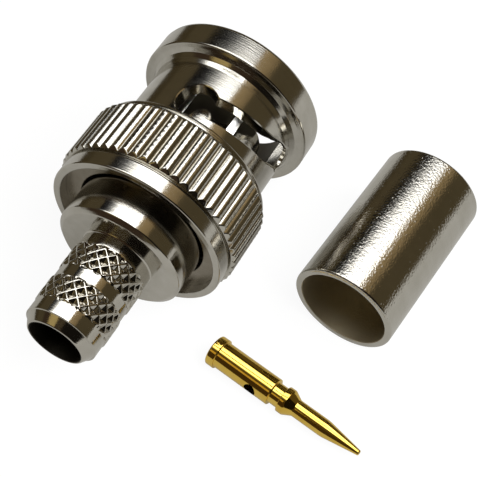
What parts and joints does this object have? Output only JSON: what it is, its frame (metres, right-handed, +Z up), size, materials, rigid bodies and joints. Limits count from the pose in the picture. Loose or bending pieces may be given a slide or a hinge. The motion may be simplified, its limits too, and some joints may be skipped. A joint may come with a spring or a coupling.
{
  "type": "coaxial bayonet crimp plug",
  "caption": "Bayonet-locking coaxial crimp plug with knurled coupling nut, loose crimp ferrule and gold centre contact.",
  "frame": {"origin": "centre of the coupling nut's front mouth, on the plug's axis", "axes": "+X along the plug's axis, out of its nose; +Z up; the pieces lie on the level Z = -7.55 mm"},
  "size_m": [0.0277, 0.0288, 0.0151],
  "materials": {
    "nickel_nut": "polished nickel plate on brass",
    "nickel_ring": "nickel plate on brass",
    "washer_steel": "plain spring steel",
    "nickel_body": "polished nickel plate on brass",
    "nickel_contact": "nickel plate on spring bronze",
    "white_insulator": "white fluoropolymer",
    "gasket_rubber": "silicone rubber",
    "nickel_ferrule": "satin nickel plate on copper alloy",
    "gold": "gold plate"
  },
  "bodies": {
    "plug": {"plug_body": "nickel_body", "spring_contact": "nickel_contact", "front_insulator": "white_insulator", "rear_insulator": "white_insulator", "gasket": "gasket_rubber", "thrust_washer": "washer_steel", "crimp_ferrule": "nickel_ferrule", "centre_contact": "gold"},
    "spring": {"wave_washer": "washer_steel"},
    "nut": {"coupling_nut": "nickel_nut", "retaining_ring": "nickel_ring"}
  },
  "joints": [
    {"name": "nut_float", "type": "slide", "parent": "plug", "child": "spring", "axis": [1, 0, 0], "range_m": [0, 0.0005], "stiffness_N_per_m": 1500, "springref_m": -0.0003, "deforming": ["wave_washer"]},
    {"name": "nut_turn", "type": "hinge", "parent": "spring", "child": "nut", "pos_m": [-0.0078, 0, 0], "axis": [1, 0, 0], "continuous": true}
  ]
}
